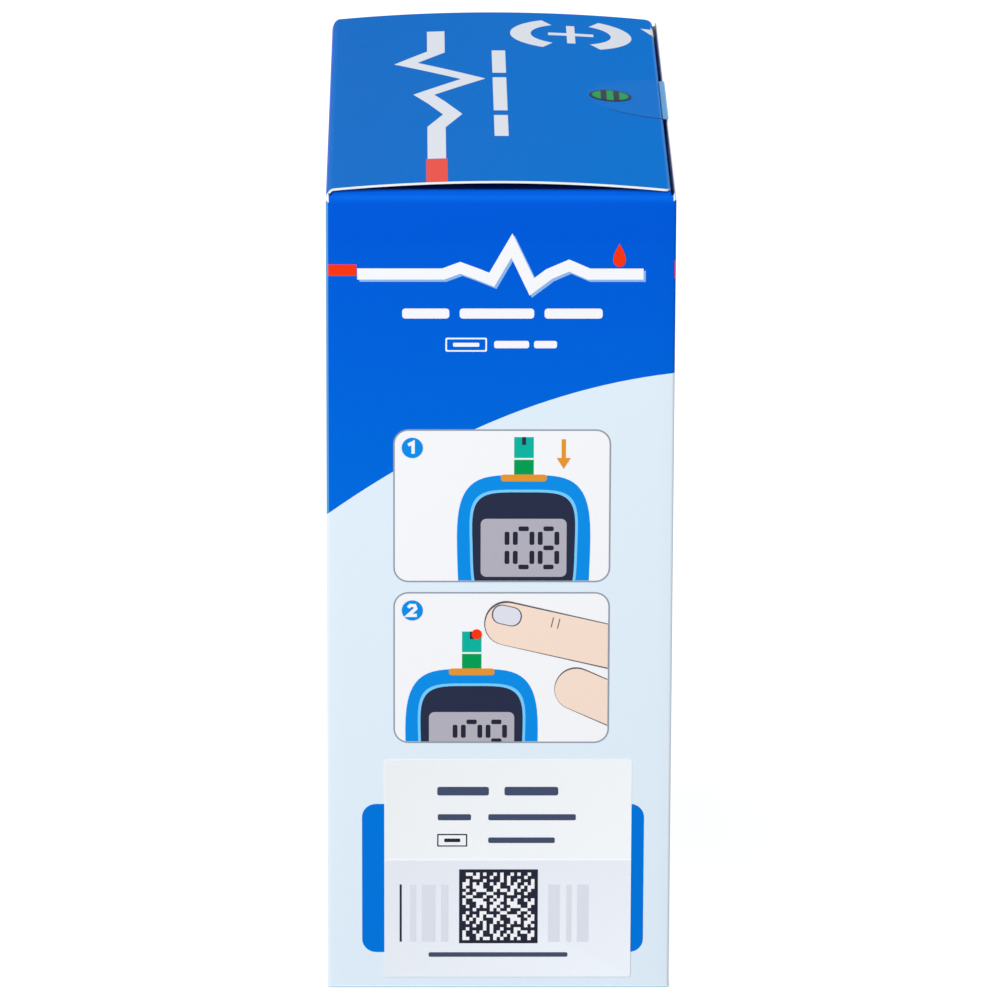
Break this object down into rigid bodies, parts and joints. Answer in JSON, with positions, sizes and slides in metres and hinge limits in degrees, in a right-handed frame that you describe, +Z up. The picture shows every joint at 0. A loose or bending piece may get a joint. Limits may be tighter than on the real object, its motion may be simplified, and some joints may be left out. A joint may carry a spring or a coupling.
{
  "type": "blood glucose meter",
  "caption": "Blood glucose meter kit in its tuck-top folding carton, standing on end, with a hinged lid, a lift-out meter, a strip vial and a lancing device.",
  "frame": {"origin": "middle of the carton's base, on the surface that it stands on", "axes": "+Z up, -Y out of the narrow front panel, +X towards the tuck edge of the lid"},
  "size_m": [0.0642, 0.1262, 0.1566],
  "materials": {
    "printed_board": "coated folding board, printed blue, satin",
    "plain_board": "uncoated white inner face",
    "paper_label": "white self-adhesive paper",
    "clear_film": "clear glossy film",
    "green_film": "printed film",
    "booklet_paper": "stapled booklet",
    "blue_plastic": "moulded ABS, glossy",
    "light_blue_plastic": "moulded, glossy",
    "white_plastic": "moulded, satin",
    "natural_plastic": "moulded polyethylene",
    "dark_plastic": "moulded, matt",
    "lens_plastic": "printed clear lens, dark surround",
    "lcd_glass": "grey reflective display",
    "elastomer": "conductive elastomer",
    "orange_plastic": "moulded, satin",
    "board_green": "solder mask on glass laminate",
    "chip_black": "moulded epoxy",
    "gold_contact": "gold-plated spring contact",
    "spring_steel": "drawn steel",
    "cell_steel": "nickel-plated can",
    "strip_print": "printed test strip"
  },
  "bodies": {
    "carton": {"carton_sleeve": "printed_board", "bottom_outer_panel": "printed_board", "bottom_inner_panel": "plain_board", "bottom_front_flap": "plain_board", "bottom_rear_flap": "plain_board", "front_label": "paper_label", "code_sticker": "paper_label", "insert_shelf": "plain_board", "insert_deck": "plain_board", "booklet": "booklet_paper", "spare_lancets": "light_blue_plastic", "twist_off_caps": "white_plastic"},
    "lid": {"top_lid": "printed_board", "clear_seal": "clear_film", "round_sticker": "green_film"},
    "tuck": {"tuck_flap": "printed_board"},
    "front_dust": {"front_dust_flap": "plain_board"},
    "rear_dust": {"rear_dust_flap": "plain_board"},
    "vial": {"vial_body": "natural_plastic", "vial_liner": "white_plastic", "test_strips": "strip_print"},
    "vial_lid": {"vial_cap": "blue_plastic"},
    "lancing_device": {"lancer_barrel": "blue_plastic"},
    "cocking_grip": {"cocking_sleeve": "white_plastic", "return_spring": "spring_steel"},
    "lancet_slider": {"lancet_carrier": "white_plastic", "fitted_lancet": "light_blue_plastic", "drive_spring": "spring_steel"},
    "release": {"release_button": "white_plastic"},
    "dial": {"depth_dial": "white_plastic"},
    "nose": {"nose_cap": "blue_plastic"},
    "meter": {"front_shell": "blue_plastic", "rear_shell": "blue_plastic", "display_lens": "lens_plastic", "lcd_panel": "lcd_glass", "lcd_frame": "white_plastic", "zebra_strips": "elastomer", "circuit_board": "board_green", "board_chips": "chip_black", "buzzer": "dark_plastic", "strip_port": "orange_plastic", "port_contacts": "gold_contact", "dome_switches": "spring_steel", "minus_contact": "gold_contact", "plus_contact": "gold_contact", "coin_cell": "cell_steel", "case_screws": "spring_steel", "rear_label": "paper_label"},
    "left_key": {"left_button": "white_plastic"},
    "right_key": {"right_button": "white_plastic"},
    "meter_cover": {"battery_cover": "blue_plastic"}
  },
  "joints": [
    {"name": "lid_hinge", "type": "hinge", "parent": "carton", "child": "lid", "pos_m": [-0.032, 0, 0.155], "axis": [0, -1, 0], "range_deg": [0, 150]},
    {"name": "tuck_fold", "type": "hinge", "parent": "lid", "child": "tuck", "pos_m": [0.0304, 0, 0.15455], "axis": [0, 1, 0], "range_deg": [0, 42.5]},
    {"name": "front_dust_hinge", "type": "hinge", "parent": "carton", "child": "front_dust", "pos_m": [0, -0.063, 0.15445], "axis": [1, 0, 0], "range_deg": [0, 76]},
    {"name": "rear_dust_hinge", "type": "hinge", "parent": "carton", "child": "rear_dust", "pos_m": [0, 0.063, 0.15445], "axis": [-1, 0, 0], "range_deg": [0, 76]},
    {"name": "meter_lift", "type": "slide", "parent": "carton", "child": "meter", "axis": [0, 0, 1], "range_m": [0, 0.142]},
    {"name": "vial_lift", "type": "slide", "parent": "carton", "child": "vial", "axis": [0, 0, 1], "range_m": [0, 0.142]},
    {"name": "lancer_lift", "type": "slide", "parent": "carton", "child": "lancing_device", "axis": [0, 0, 1], "range_m": [0, 0.142]},
    {"name": "battery_cover_slide", "type": "slide", "parent": "meter", "child": "meter_cover", "axis": [0, 0, -1], "range_m": [0, 0.014]},
    {"name": "left_button_press", "type": "slide", "parent": "meter", "child": "left_key", "axis": [0, 1, 0], "range_m": [0, 0.00055], "stiffness_N_per_m": 2000},
    {"name": "right_button_press", "type": "slide", "parent": "meter", "child": "right_key", "axis": [0, 1, 0], "range_m": [0, 0.00055], "stiffness_N_per_m": 2000},
    {"name": "vial_cap_hinge", "type": "hinge", "parent": "vial", "child": "vial_lid", "pos_m": [-0.01325, 0.0281, 0.065], "axis": [-1, 0, 0], "range_deg": [0, 110]},
    {"name": "cocking_pull", "type": "slide", "parent": "lancing_device", "child": "cocking_grip", "axis": [0, 0, -1], "range_m": [0, 0.008], "stiffness_N_per_m": 200, "springref_m": -0.003, "deforming": ["return_spring"]},
    {"name": "lancet_cock", "type": "slide", "parent": "lancing_device", "child": "lancet_slider", "axis": [0, 0, -1], "range_m": [0, 0.006], "deforming": ["drive_spring"]},
    {"name": "release_press", "type": "slide", "parent": "lancing_device", "child": "release", "axis": [0, 1, 0], "range_m": [0, 0.0008], "stiffness_N_per_m": 1500},
    {"name": "depth_dial_turn", "type": "hinge", "parent": "lancing_device", "child": "dial", "pos_m": [0.0156, 0.012, 0.1041], "axis": [0, 0, 1], "range_deg": [-120, 120]},
    {"name": "nose_cap_pull", "type": "slide", "parent": "lancing_device", "child": "nose", "axis": [0, 0, 1], "range_m": [0, 0.018]}
  ],
  "couplings": [
    {"joint": "lid_hinge", "follows": "meter_lift", "rad_per_m": 18.4},
    {"joint": "tuck_fold", "follows": "meter_lift", "rad_per_m": 5.15},
    {"joint": "front_dust_hinge", "follows": "meter_lift", "rad_per_m": 9.2},
    {"joint": "rear_dust_hinge", "follows": "meter_lift", "rad_per_m": 9.2},
    {"joint": "vial_lift", "follows": "meter_lift", "ratio": 1},
    {"joint": "lancer_lift", "follows": "meter_lift", "ratio": 1},
    {"joint": "lancet_cock", "follows": "cocking_pull", "ratio": 0.75}
  ]
}
